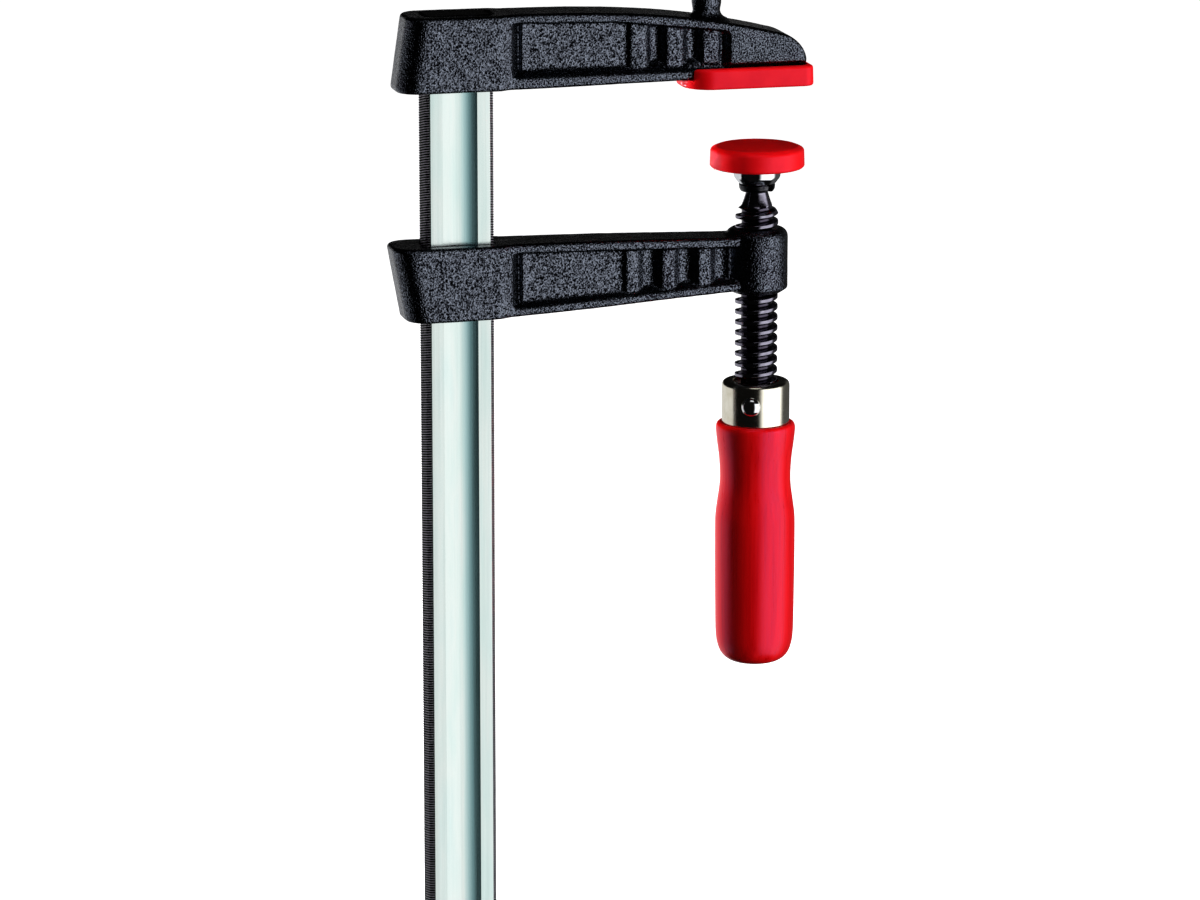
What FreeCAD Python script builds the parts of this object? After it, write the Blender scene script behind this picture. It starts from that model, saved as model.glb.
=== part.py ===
import FreeCAD, Part
import math
import os
from FreeCAD import Vector

# F clamp with a screw spindle, 200 mm capacity class. Millimetres.
#
# Frame: the origin is the centre of the fixed jaw's clamping face, on the spindle's axis.
# +Z runs up the rail, +X from the rail towards the jaw tips, and the front side faces -Y.
# A "reach" is a distance in +X from the rail's centre line.

# ---------------------------------------------------------------- driving dimensions

axis_reach = 85.75          # rail centre line to spindle axis, which gives a 76 mm throat
fit_gap = 0.05              # radial gap between pieces that are pressed or pinned together
slide_gap = 0.3             # gap all round between the rail and the sliding arm

rail_width = 19.5
rail_thickness = 9.5
rail_chamfer = 1.35
rail_groove_width = 9.8
rail_groove_depth = 0.5
rail_groove_slope = 0.6
rail_top = 22.7
rail_bottom = -243.1
serration_pitch = 0.7
serration_depth = 0.3
stop_ridge_radius = 2.2
stop_ridge_height = 1.1
stop_ridge_length = 15.0
stop_ridge_z = rail_bottom + 5.0
serration_end_gap = 6.0     # plain edge between the serrations and the stop ridge

sleeve_half = 8.75          # half thickness of a casting where it surrounds the rail
flange_half = 7.25          # half thickness of a casting along its flanges
arm_tip_half = 6.0          # the arm's flanges taper to this half thickness at the boss
ramp_start = 11.0           # reach where the sleeve starts to narrow to the flanges
ramp_end = 14.0
ramp_blend = 3.0            # radius that blends the ramp into the faces beside it
back_corner_radius = 6.0
casting_edge_radius = 0.9
boundary_clearance = 1.0    # how far a cutting or trimming body runs past what it cuts

panel_half = 4.75           # half thickness of the web under the plain panel
panel_lead_rise = 0.4       # the panel rises gently by this much towards the sleeve
panel_lead_start = 16.9     # reach where that rise meets the pocket's steep end wall
panel_lead_end = 19.6
crest_half = 5.6            # half thickness of the web over a rib
trough_half = 3.5           # half thickness of the web at the bottom of a trough
rib_pitch = 10.35
rib_count = 3
flank_width = 1.1
trough_shoulder = 1.2       # height of the round trough below its straight flanks
pocket_corner_radius = 1.6

jaw_under_rail = 1.9
cap_floor = 2.5             # the jaw's pad is this far above the clamping face
jaw_back_low = -17.7
jaw_back_high = -14.7
jaw_nose = 98.5
nose_corner_radius = 3.0
jaw_rib_reach = 50.0        # reach of the first rib's middle
jaw_crest_width = 4.1
# (reach, z) points of the jaw's outline and of its two pockets
jaw_crown = [(11.0, 22.6), (44.0, 21.9), (62.5, 20.2), (83.5, 16.4), (90.1, 14.8)]
jaw_nose_curve = [(90.1, 14.8), (96.0, 11.4), (98.5, 5.8)]
jaw_underside = [(98.5, 2.5), (60.0, 2.5), (20.0, 1.9)]
jaw_pocket_rim = [(13.9, 4.9), (76.0, 4.9), (76.0, 15.9), (44.0, 19.6), (13.9, 20.4)]
jaw_pocket_floor = [(17.3, 7.1), (74.2, 7.1), (74.2, 15.7), (44.0, 19.3), (17.3, 20.1)]

knob_reach = 70.9
knob_radius = 3.75
knob_head_radius = 4.15
knob_head_z = 23.4
knob_base = 18.0
knob_top = 27.4
knob_crown_height = 1.4
knob_flare = 2.4

arm_top_rail = -40.9
arm_under_rail = -61.6
arm_back_high = -19.1
arm_back_low = -15.3
arm_rib_reach = 48.4        # reach of the first rib's middle
arm_crest_width = 3.1
# (reach, z) points of the arm's outline and of its two pockets
arm_top_line = [(-19.1, -40.9), (10.0, -40.95), (41.0, -41.35), (76.0, -42.3), (85.75, -42.5)]
arm_under_line = [(85.75, -57.4), (72.0, -58.0), (54.0, -59.1), (38.6, -60.1), (14.0, -61.3),
                  (-15.3, -61.6)]
arm_pocket_rim = [(13.9, -59.3), (83.0, -55.9), (83.0, -44.95), (41.0, -43.85), (13.9, -43.4)]
arm_pocket_floor = [(17.3, -57.5), (82.0, -54.25), (82.0, -45.2), (41.0, -44.1), (17.3, -43.7)]
boss_radius = 8.7
boss_top = -40.7
boss_bottom = -59.0
boss_top_round = 2.4
boss_chamfer_width = 2.1
boss_chamfer_height = 1.4

cap_left_reach = 63.3
cap_right_reach = 99.7
cap_half_width = 10.0
cap_height = 5.6
cap_left_radius = 7.8
cap_right_radius = 3.2
cap_edge_radius = 0.6

thread_pitch = 3.0
thread_major = 6.0
thread_minor = 4.25
thread_crest = 1.1
thread_flank_angle = 15.0
run_out_slope = 1.3         # axial length of the screw's run-out per unit of radius
thread_bottom = -84.2
nut_major = 6.25
nut_minor = 4.6
nut_side_gap = 0.15
neck_radius = 2.95
neck_flare_top = -30.6
neck_flare = [(3.5, -32.2), (4.15, -34.0)]      # (radius, z) points of the flare below the neck
shank_radius = 4.2
shank_bottom = -135.0

ball_z = -23.7
ball_radius = 4.0
socket_gap = 0.12
socket_lip = 2.0            # how far below the ball's middle the socket still holds it
socket_mouth_radius = 3.85
plate_top = -19.2
plate_radius = 11.7
plate_thickness = 3.6
plate_cap_radius = 13.2
plate_cap_top = -17.7
plate_cap_bottom = -23.6
plate_cap_round = 1.0
plate_cap_lip = 0.9         # overlap of the cap's lip under the disc
plate_cap_chamfer = 0.6
bell_fillet = 0.6
bell_side_z = -26.2
bell_top_radius = 6.75
bell_side_radius = 6.4
bell_bottom_radius = 5.2
bell_bottom = -28.0
ring_bottom = -30.3
ring_bottom_radius = 4.6
ring_bore = 3.15
ring_gap = 0.15
ring_slot = 1.8
ring_slot_turn = -56.0      # direction of the ring's slot about the spindle, degrees

ferrule_radius = 9.5
ferrule_wall = 1.0
ferrule_top = -84.2
ferrule_bottom = -96.1
ferrule_hole = 6.4
ferrule_round = 1.6
ferrule_inner_chamfer = 0.8
ferrule_roof = 1.2
pin_z = -90.1
pin_radius = 1.5
pin_head_radius = 2.8
pin_head_height = 1.2
pin_turn = -114.0           # direction of the pin's near head about the spindle, degrees

# (radius, z) points of the handle's lip, side and foot, from the top down
handle_lip = [(9.75, -96.15), (10.75, -96.65), (11.15, -97.75)]
handle_side = [(11.15, -97.75), (10.6, -102.5), (9.9, -111.1), (10.75, -117.0), (11.25, -123.1),
               (11.2, -140.0), (11.0, -158.1)]
handle_foot = [(11.0, -158.1), (8.9, -163.6), (4.0, -165.6)]
tenon_radius = ferrule_radius - ferrule_wall - fit_gap
tenon_top = ferrule_top - 1.4
tenon_chamfer = 0.9
bore_end_gap = 0.5

rail_x = -axis_reach


# ---------------------------------------------------------------- shared helpers

def at(reach, z, y=0.0):
    """A point given by its reach from the rail's centre line."""
    return Vector(rail_x + reach, y, z)


def line(start, end):
    return Part.makeLine(start, end)


def arc(start, middle, end):
    return Part.Arc(start, middle, end).toShape()


def spline(points):
    curve = Part.BSplineCurve()
    curve.interpolate(points)
    return curve.toShape()


def spot(radius, z):
    """A point in the half profile of a turned piece."""
    return Vector(radius, 0, z)


def ring_of_lines(points):
    """Straight edges that join the points one after another, left open at the end."""
    return [line(start, end) for start, end in zip(points, points[1:])]


def quarter_round(radius, z, size):
    """The rounded top edge of a turned piece, from its side to its top."""
    inset = size * (1 - math.sqrt(0.5))
    return arc(spot(radius, z - size), spot(radius - inset, z - inset), spot(radius - size, z))


def slab(face, half):
    """A solid from a face in the XZ plane, as thick as 2 * half, centred on the mid plane."""
    lifted = face.translated(Vector(0, -half, 0))
    return lifted.extrude(Vector(0, 2 * half, 0))


def turned(edges):
    """A solid of revolution about the spindle's axis, from a closed half profile."""
    return Part.Face(Part.Wire(edges)).revolve(Vector(0, 0, 0), Vector(0, 0, 1), 360)


def cylinder(radius, low, high):
    return Part.makeCylinder(radius, high - low, Vector(0, 0, low))


def rounded_outline(corners, radii):
    """A closed wire through the corners, each one rounded by its own radius."""
    edges = []
    count = len(corners)
    starts = []
    ends = []
    for index in range(count):
        corner = corners[index]
        before = (corners[index - 1] - corner).normalize()
        after = (corners[(index + 1) % count] - corner).normalize()
        half_angle = before.getAngle(after) / 2
        setback = radii[index] / math.tan(half_angle)
        inward = (before + after).normalize()
        to_arc = radii[index] / math.sin(half_angle) - radii[index]
        starts.append(corner + before * setback)
        ends.append(corner + after * setback)
        edges.append(arc(starts[index], corner + inward * to_arc, ends[index]))
        if index:
            edges.insert(-1, line(ends[index - 1], starts[index]))
    edges.append(line(ends[-1], starts[0]))
    return Part.Wire(edges)


# ---------------------------------------------------------------- rail

def rail_section(grow):
    """The rail's section in the XY plane, with every face moved out by grow."""
    half_width = rail_width / 2 + grow
    half_thickness = rail_thickness / 2 + grow
    cut = rail_chamfer
    corners = [(half_width - cut, -half_thickness), (half_width, -half_thickness + cut),
               (half_width, half_thickness - cut), (half_width - cut, half_thickness)]
    mirrored = [(-x, -y) for x, y in corners]
    return Part.makePolygon([Vector(rail_x + x, y, 0) for x, y in corners + mirrored + corners[:1]])


def rail_bar(grow, low, high):
    bar = Part.Face(rail_section(grow)).extrude(Vector(0, 0, high - low))
    return bar.translated(Vector(0, 0, low))


def rail_groove(side):
    """The shallow flat groove along one broad face, as a solid to cut away."""
    face_y = side * rail_thickness / 2
    floor_y = side * (rail_thickness / 2 - rail_groove_depth)
    half = rail_groove_width / 2
    outline = [Vector(rail_x - half, face_y, rail_bottom),
               Vector(rail_x + half, face_y, rail_bottom),
               Vector(rail_x + half - rail_groove_slope, floor_y, rail_bottom),
               Vector(rail_x - half + rail_groove_slope, floor_y, rail_bottom)]
    face = Part.Face(Part.makePolygon(outline + outline[:1]))
    return face.extrude(Vector(0, 0, jaw_under_rail - rail_bottom))


def serration_comb(side):
    """V grooves across one narrow edge of the rail, below the fixed jaw."""
    edge_x = rail_x + side * rail_width / 2
    count = int((jaw_under_rail - stop_ridge_z - serration_end_gap) / serration_pitch)
    outer_x = edge_x + side * boundary_clearance
    points = []
    for index in range(count):
        z = jaw_under_rail - (index + 0.5) * serration_pitch
        points.append(Vector(edge_x, 0, z + serration_pitch / 2))
        points.append(Vector(edge_x - side * serration_depth, 0, z))
    last = points[-1].z - serration_pitch / 2
    points.append(Vector(edge_x, 0, last))
    points.append(Vector(outer_x, 0, last))
    points.append(Vector(outer_x, 0, points[0].z))
    return slab(Part.Face(Part.makePolygon(points + points[:1])), rail_thickness)


def stop_ridge(side):
    """The upset ridge near the rail's lower end that keeps the arm from sliding off."""
    centre_y = side * (rail_thickness / 2 + stop_ridge_height - stop_ridge_radius)
    start = Vector(rail_x - stop_ridge_length / 2, centre_y, stop_ridge_z)
    return Part.makeCylinder(stop_ridge_radius, stop_ridge_length, start, Vector(1, 0, 0))


def make_rail():
    bar = rail_bar(0, rail_bottom, rail_top)
    bar = bar.cut([rail_groove(-1), rail_groove(1)])
    bar = bar.fuse([stop_ridge(-1), stop_ridge(1)])
    return bar.cut([serration_comb(-1), serration_comb(1)])


# ---------------------------------------------------------------- castings

def plan_outline(end_reach, end_half, end_radius):
    """Outline seen from above: thick sleeve, ramp, and long narrower flanges."""
    back = min(jaw_back_low, arm_back_high) - boundary_clearance
    corners = [Vector(rail_x + back, -sleeve_half, 0),
               Vector(rail_x + ramp_start, -sleeve_half, 0),
               Vector(rail_x + ramp_end, -flange_half, 0),
               Vector(rail_x + end_reach, -end_half, 0),
               Vector(rail_x + end_reach, end_half, 0),
               Vector(rail_x + ramp_end, flange_half, 0),
               Vector(rail_x + ramp_start, sleeve_half, 0),
               Vector(rail_x + back, sleeve_half, 0)]
    square = 0.5
    half = [square, ramp_blend, ramp_blend, end_radius]
    return rounded_outline(corners, half + half[::-1])


def tall_prism(face):
    """A prism from a face in the XY plane, tall enough to pass through both castings."""
    tall = rail_top - arm_under_rail
    return face.translated(Vector(0, 0, -tall)).extrude(Vector(0, 0, 2 * tall))


def casting_body(side_wire, end_reach, end_half, end_radius):
    """A casting's solid outer form, from its side outline and its plan outline."""
    plan = Part.Face(plan_outline(end_reach, end_half, end_radius))
    body = slab(Part.Face(side_wire), 2 * sleeve_half).common(tall_prism(plan))
    back = [edge for edge in body.Edges if is_back_edge(edge)]
    return body.makeFillet(back_corner_radius, back)


def is_back_edge(edge):
    """True for the upright corner edges at a casting's back end."""
    box = edge.BoundBox
    upright = box.ZLength > rail_thickness
    flat = box.YLength < fit_gap
    return upright and flat and box.XMax < rail_x - rail_width / 2


def web_relief(first_rib, crest_width):
    """The web between the flanges, seen from above: plain panel, then ribs and troughs."""
    lead_half = panel_half + panel_lead_rise
    here = Vector(rail_x + first_rib - crest_width / 2 - flank_width, panel_half, 0)
    edges = ring_of_lines([Vector(rail_x, 0, 0), Vector(rail_x, lead_half, 0),
                           Vector(rail_x + panel_lead_start, lead_half, 0),
                           Vector(rail_x + panel_lead_end, panel_half, 0), here])
    for index in range(rib_count):
        left = rail_x + first_rib + index * rib_pitch - crest_width / 2
        crest_start = Vector(left, crest_half, 0)
        crest_end = Vector(left + crest_width, crest_half, 0)
        foot = Vector(crest_end.x + flank_width, trough_half + trough_shoulder, 0)
        next_foot = Vector(left + rib_pitch - flank_width, foot.y, 0)
        bottom = Vector((foot.x + next_foot.x) / 2, trough_half, 0)
        edges.append(line(here, crest_start))
        edges.append(line(crest_start, crest_end))
        edges.append(line(crest_end, foot))
        edges.append(arc(foot, bottom, next_foot))
        here = next_foot
    last = Vector(here.x, 0, 0)
    edges.append(line(here, last))
    edges.append(line(last, Vector(rail_x, 0, 0)))
    return Part.Face(Part.Wire(edges))


def pocket_cutter(rim, floor, relief, side):
    """The recess in one flank: sloped walls from rim to floor, less the web's relief."""
    outer = flange_half + boundary_clearance
    inner = trough_half - boundary_clearance / 2
    depth = flange_half - panel_half
    sections = []
    for level, blend in ((outer, (flange_half - outer) / depth), (inner, (flange_half - inner) / depth)):
        corners = []
        for rim_corner, floor_corner in zip(rim, floor):
            reach = rim_corner[0] + (floor_corner[0] - rim_corner[0]) * blend
            z = rim_corner[1] + (floor_corner[1] - rim_corner[1]) * blend
            corners.append(at(reach, z, side * level))
        sections.append(rounded_outline(corners, [pocket_corner_radius] * len(corners)))
    pocket = Part.makeLoft(sections, True, True)
    web = tall_prism(relief)
    if side < 0:
        web = web.mirror(Vector(0, 0, 0), Vector(0, 1, 0))
    return pocket.cut(web)


def soften(body, keep_sharp):
    """Round the long outer edges of a casting."""
    edges = [edge for edge in body.Edges if not keep_sharp(edge)]
    return body.makeFillet(casting_edge_radius, edges)


# ---------------------------------------------------------------- fixed jaw and its cap

def jaw_side_wire():
    top_back = at(jaw_back_high, rail_top)
    bottom_back = at(jaw_back_low, jaw_under_rail)
    crown = [at(reach, z) for reach, z in jaw_crown]
    nose = [at(reach, z) for reach, z in jaw_nose_curve]
    under = [at(reach, z) for reach, z in jaw_underside]
    straight = ring_of_lines([nose[-1]] + under + [bottom_back, top_back, crown[0]])
    return Part.Wire([spline(crown), arc(*nose)] + straight)


def jaw_knob():
    """The striking stub on top of the fixed jaw, with a slightly bulged head."""
    foot_z = knob_base + knob_flare / 4
    neck_z = knob_base + knob_flare * 4 / 3
    head_end = knob_top - knob_crown_height
    crown_inset = knob_crown_height * (1 - math.sqrt(0.5))
    flat_radius = knob_radius - knob_crown_height
    foot = arc(spot(knob_radius + knob_flare, foot_z),
               spot(knob_radius + knob_flare * 0.3, knob_base + knob_flare * 0.6),
               spot(knob_radius, neck_z))
    head = arc(spot(knob_radius, neck_z), spot(knob_head_radius, knob_head_z), spot(knob_radius, head_end))
    crown = arc(spot(knob_radius, head_end), spot(knob_radius - crown_inset, knob_top - crown_inset),
                spot(flat_radius, knob_top))
    straight = ring_of_lines([spot(flat_radius, knob_top), spot(0, knob_top), spot(0, knob_base),
                              spot(knob_radius + knob_flare, knob_base),
                              spot(knob_radius + knob_flare, foot_z)])
    return turned([foot, head, crown] + straight).translated(at(knob_reach, 0))


def make_fixed_jaw():
    body = casting_body(jaw_side_wire(), jaw_nose, flange_half, nose_corner_radius)

    def is_under_pad(edge):
        return edge.BoundBox.ZMax < cap_floor + fit_gap and edge.BoundBox.XMin > rail_x + jaw_rib_reach

    body = soften(body, is_under_pad)
    relief = web_relief(jaw_rib_reach, jaw_crest_width)
    pockets = [pocket_cutter(jaw_pocket_rim, jaw_pocket_floor, relief, side) for side in (-1, 1)]
    body = body.fuse(jaw_knob()).cut(pockets)
    return body.cut(rail_bar(fit_gap, jaw_under_rail - boundary_clearance, rail_top + boundary_clearance))


def make_fixed_jaw_cap():
    """The plastic pad pushed over the jaw's nose: round tongue behind, square lip in front."""
    corners = [Vector(rail_x + cap_left_reach, -cap_half_width, 0),
               Vector(rail_x + cap_right_reach, -cap_half_width, 0),
               Vector(rail_x + cap_right_reach, cap_half_width, 0),
               Vector(rail_x + cap_left_reach, cap_half_width, 0)]
    radii = [cap_left_radius, cap_right_radius, cap_right_radius, cap_left_radius]
    block = Part.Face(rounded_outline(corners, radii)).extrude(Vector(0, 0, cap_height))
    rims = [edge for edge in block.Edges if edge.BoundBox.ZLength < 0.01]
    block = block.makeFillet(cap_edge_radius, rims)
    room = Part.Face(plan_outline(jaw_nose + fit_gap, flange_half, nose_corner_radius))
    room = room.translated(Vector(0, 0, cap_floor)).extrude(Vector(0, 0, cap_height))
    side = slab_between(flange_half + fit_gap, cap_floor, cap_floor + cap_height)
    return block.cut(room.fuse(side))


def slab_between(half, low, high):
    """A box along the jaw, as wide as the flanges with their gap."""
    start = Vector(rail_x + ramp_end, -half, low)
    return Part.makeBox(jaw_nose - ramp_end - nose_corner_radius, 2 * half, high - low, start)


# ---------------------------------------------------------------- sliding arm

def arm_side_wire():
    top = [at(reach, z) for reach, z in arm_top_line]
    under = [at(reach, z) for reach, z in arm_under_line]
    return Part.Wire([spline(top), line(top[-1], under[0]), spline(under), line(under[-1], top[0])])


def arm_boss():
    """The threaded boss at the arm's end, rounded on top and chamfered below."""
    wall_end = boss_bottom + boss_chamfer_height
    straight = ring_of_lines([spot(boss_radius - boss_top_round, boss_top), spot(0, boss_top),
                              spot(0, boss_bottom), spot(boss_radius - boss_chamfer_width, boss_bottom),
                              spot(boss_radius, wall_end), spot(boss_radius, boss_top - boss_top_round)])
    return turned([quarter_round(boss_radius, boss_top, boss_top_round)] + straight)


def make_sliding_arm():
    square_end = 0.5
    body = casting_body(arm_side_wire(), axis_reach, arm_tip_half, square_end)
    body = soften(body, lambda edge: edge.BoundBox.XMin > -boundary_clearance)
    relief = web_relief(arm_rib_reach, arm_crest_width)
    pockets = [pocket_cutter(arm_pocket_rim, arm_pocket_floor, relief, side) for side in (-1, 1)]
    body = body.cut(pockets).fuse(arm_boss())
    nut = threaded_bar(nut_major, nut_minor, nut_crest(), boss_bottom - boundary_clearance,
                       boss_top + boundary_clearance)
    slot = rail_bar(slide_gap, arm_under_rail - boundary_clearance, arm_top_rail + boundary_clearance)
    return body.cut([nut, slot])


# ---------------------------------------------------------------- spindle thread

def flank_length(major, minor):
    """A flank's length along the axis."""
    return (major - minor) * math.tan(math.radians(thread_flank_angle))


def nut_crest():
    """The nut groove's width at its bottom, wider than the spindle's crest by the side gaps."""
    return thread_crest + 2 * nut_side_gap - 2 * flank_length(nut_major, thread_major)


def thread_section(major, minor, crest):
    """A one-start thread cut square to its axis: two arcs joined by two spirals."""
    crest_angle = 2 * math.pi * crest / thread_pitch
    flank_angle = 2 * math.pi * flank_length(major, minor) / thread_pitch

    def polar(radius, angle):
        return Vector(radius * math.cos(angle), radius * math.sin(angle), 0)

    def spiral(start_radius, end_radius, start_angle, end_angle):
        steps = 8
        points = []
        for step in range(steps + 1):
            part = step / steps
            radius = start_radius + (end_radius - start_radius) * part
            points.append(polar(radius, start_angle + (end_angle - start_angle) * part))
        return spline(points)

    half = crest_angle / 2
    foot = half + flank_angle
    return Part.Wire([
        arc(polar(major, -half), polar(major, 0), polar(major, half)),
        spiral(major, minor, half, foot),
        arc(polar(minor, foot), polar(minor, math.pi), polar(minor, -foot)),
        spiral(minor, major, -foot, -half)])


def threaded_bar(major, minor, crest, low, high):
    """A right-hand thread that is in step with every other one made here."""
    spine = Part.Wire(line(Vector(0, 0, low), Vector(0, 0, high)))
    helix = Part.Wire(Part.makeHelix(thread_pitch, high - low, major))
    turn = 360 * low / thread_pitch
    helix = helix.rotated(Vector(0, 0, 0), Vector(0, 0, 1), turn).translated(Vector(0, 0, low))
    section = thread_section(major, minor, crest)
    section = section.rotated(Vector(0, 0, 0), Vector(0, 0, 1), turn).translated(Vector(0, 0, low))
    pipe = Part.BRepOffsetAPI.MakePipeShell(spine)
    pipe.setAuxiliarySpine(helix, True, 0)
    pipe.add(section)
    pipe.build()
    pipe.makeSolid()
    return pipe.shape()


def thread_envelope():
    """The turned form that the screw runs out into: full diameter, steep run-out, flare, neck."""
    outside = thread_major + boundary_clearance
    flare = [spot(neck_radius, neck_flare_top)] + [spot(radius, z) for radius, z in neck_flare]
    run_out_end = flare[-1].z - (outside - flare[-1].x) * run_out_slope
    straight = ring_of_lines([flare[-1], spot(outside, run_out_end), spot(outside, thread_bottom),
                              spot(0, thread_bottom), spot(0, neck_flare_top), flare[0]])
    return turned([spline(flare)] + straight)


def make_spindle():
    """Screw with a ball on a waisted neck above and a plain shank for the handle below."""
    thread = threaded_bar(thread_major, thread_minor, thread_crest, thread_bottom, neck_flare_top)
    thread = thread.common(thread_envelope())
    neck = cylinder(neck_radius, neck_flare_top - boundary_clearance, ball_z)
    ball = Part.makeSphere(ball_radius, Vector(0, 0, ball_z))
    shank = cylinder(shank_radius, shank_bottom, thread_bottom)
    return thread.fuse([neck.fuse(ball), shank]).cut(pin_hole(pin_radius + fit_gap))


# ---------------------------------------------------------------- pressure plate

def below_ball(sphere_radius, radius):
    """The point at this radius on the lower half of a sphere about the ball's centre."""
    return spot(radius, ball_z - math.sqrt(sphere_radius ** 2 - radius ** 2))


def make_pressure_plate():
    """Disc and bell in one piece, with a ball socket that is closed over the ball."""
    socket = ball_radius + socket_gap
    end_sphere = math.hypot(bell_bottom_radius, ball_z - bell_bottom)
    disc_bottom = plate_top - plate_thickness
    disc_round = 0.5
    lip = below_ball(socket, math.sqrt(socket ** 2 - socket_lip ** 2))
    mouth = below_ball(end_sphere, socket_mouth_radius)
    end_middle = below_ball(end_sphere, (bell_bottom_radius + socket_mouth_radius) / 2)
    socket_top = spot(0, ball_z + socket)
    socket_middle = spot(socket * math.sqrt(0.75), ball_z + socket / 2)
    bell_side = spot(bell_side_radius, bell_side_z)
    bell_end = spot(bell_bottom_radius, bell_bottom)
    bell_middle = spot(bell_bottom_radius + (bell_side_radius - bell_bottom_radius) * 0.68,
                       (bell_side_z + bell_bottom) / 2)
    outside = ring_of_lines([
        socket_top, spot(0, plate_top), spot(plate_radius - disc_round, plate_top),
        spot(plate_radius, plate_top - disc_round), spot(plate_radius, disc_bottom + disc_round),
        spot(plate_radius - disc_round, disc_bottom), spot(bell_top_radius + bell_fillet, disc_bottom),
        spot(bell_top_radius, disc_bottom - bell_fillet), bell_side])
    return turned(outside + [arc(bell_side, bell_middle, bell_end), arc(bell_end, end_middle, mouth),
                             line(mouth, lip), arc(lip, socket_middle, socket_top)])


def make_plate_retaining_ring():
    """Split collar round the neck under the bell, with a cupped top that lets the plate tilt."""
    cup = math.hypot(bell_bottom_radius, ball_z - bell_bottom) + ring_gap
    inner = below_ball(cup, ring_bore)
    outer = below_ball(cup, bell_bottom_radius - ring_gap)
    middle = below_ball(cup, (bell_bottom_radius + ring_bore) / 2)
    straight = ring_of_lines([outer, spot(ring_bottom_radius, ring_bottom), spot(ring_bore, ring_bottom),
                              inner])
    ring = turned([arc(inner, middle, outer)] + straight)
    slot = Part.makeBox(2 * bell_bottom_radius, ring_slot, plate_thickness * 2,
                        Vector(0, -ring_slot / 2, ring_bottom - plate_thickness))
    return ring.cut(slot.rotated(Vector(0, 0, 0), Vector(0, 0, 1), ring_slot_turn))


def make_pressure_plate_cap():
    """Plastic cap snapped over the plate's disc."""
    lip_radius = plate_radius - plate_cap_lip
    disc_room = plate_radius + fit_gap
    disc_bottom = plate_top - plate_thickness - fit_gap
    outer = plate_cap_radius
    straight = ring_of_lines([
        spot(outer - plate_cap_round, plate_cap_top), spot(0, plate_cap_top), spot(0, plate_top + fit_gap),
        spot(disc_room, plate_top + fit_gap), spot(disc_room, disc_bottom), spot(lip_radius, disc_bottom),
        spot(lip_radius, plate_cap_bottom), spot(outer - plate_cap_chamfer, plate_cap_bottom),
        spot(outer, plate_cap_bottom + plate_cap_chamfer), spot(outer, plate_cap_top - plate_cap_round)])
    return turned([quarter_round(outer, plate_cap_top, plate_cap_round)] + straight)


# ---------------------------------------------------------------- ferrule, pin and handle

def pin_axis():
    angle = math.radians(pin_turn)
    return Vector(math.cos(angle), math.sin(angle), 0)


def pin_hole(radius):
    reach = ferrule_radius + 5.0
    start = Vector(0, 0, pin_z) - pin_axis() * reach
    return Part.makeCylinder(radius, 2 * reach, start, pin_axis())


def make_ferrule():
    """Deep-drawn steel cup over the handle's tenon."""
    inner = ferrule_radius - ferrule_wall
    roof = ferrule_top - ferrule_roof
    straight = ring_of_lines([
        spot(ferrule_radius - ferrule_round, ferrule_top), spot(ferrule_hole, ferrule_top),
        spot(ferrule_hole, roof), spot(inner - ferrule_inner_chamfer, roof),
        spot(inner, roof - ferrule_inner_chamfer), spot(inner, ferrule_bottom),
        spot(ferrule_radius, ferrule_bottom), spot(ferrule_radius, ferrule_top - ferrule_round)])
    cup = turned([quarter_round(ferrule_radius, ferrule_top, ferrule_round)] + straight)
    return cup.cut(pin_hole(pin_radius + fit_gap))


def make_handle_pin():
    """Cross pin with a domed head at each end."""
    face = ferrule_radius + fit_gap
    dome = (pin_head_radius ** 2 + pin_head_height ** 2) / (2 * pin_head_height)
    shaft = Part.makeCylinder(pin_radius, 2 * face, Vector(0, 0, -face))
    heads = []
    for side in (-1, 1):
        ball = Part.makeSphere(dome, Vector(0, 0, side * (face + pin_head_height - dome)))
        low = face if side > 0 else -face - 2 * pin_head_height
        keep = Part.makeCylinder(pin_head_radius, 2 * pin_head_height, Vector(0, 0, low))
        heads.append(ball.common(keep))
    pin = shaft.fuse(heads)
    pin = pin.rotated(Vector(0, 0, 0), Vector(0, 1, 0), 90)
    pin = pin.rotated(Vector(0, 0, 0), Vector(0, 0, 1), pin_turn)
    return pin.translated(Vector(0, 0, pin_z))


def make_handle():
    """Turned wooden handle: tenon for the ferrule, lip, waist, long swell and round foot."""
    lip = [spot(radius, z) for radius, z in handle_lip]
    side = [spot(radius, z) for radius, z in handle_side]
    foot = [spot(radius, z) for radius, z in handle_foot]
    straight = ring_of_lines([
        foot[-1], spot(0, foot[-1].z), spot(0, tenon_top), spot(tenon_radius - tenon_chamfer, tenon_top),
        spot(tenon_radius, tenon_top - tenon_chamfer), spot(tenon_radius, lip[0].z), lip[0]])
    blank = turned([arc(*lip), spline(side), arc(*foot)] + straight)
    bore = cylinder(shank_radius + fit_gap, shank_bottom - bore_end_gap, tenon_top + boundary_clearance)
    return blank.cut([bore, pin_hole(pin_radius + fit_gap)])


# ---------------------------------------------------------------- export

MAKERS = {
    "rail": make_rail,
    "fixed_jaw": make_fixed_jaw,
    "fixed_jaw_cap": make_fixed_jaw_cap,
    "sliding_arm": make_sliding_arm,
    "spindle": make_spindle,
    "plate_retaining_ring": make_plate_retaining_ring,
    "pressure_plate": make_pressure_plate,
    "pressure_plate_cap": make_pressure_plate_cap,
    "ferrule": make_ferrule,
    "handle_pin": make_handle_pin,
    "handle": make_handle,
}

os.makedirs("parts", exist_ok=True)
for node, make in MAKERS.items():
    shape = make()
    shape.exportStep("parts/" + node + ".step")
    print(node, shape.ShapeType, len(shape.Solids), shape.isValid(), round(shape.Volume, 1))
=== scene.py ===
import math

import bmesh
import bpy
from mathutils import Matrix, Vector, noise


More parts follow.
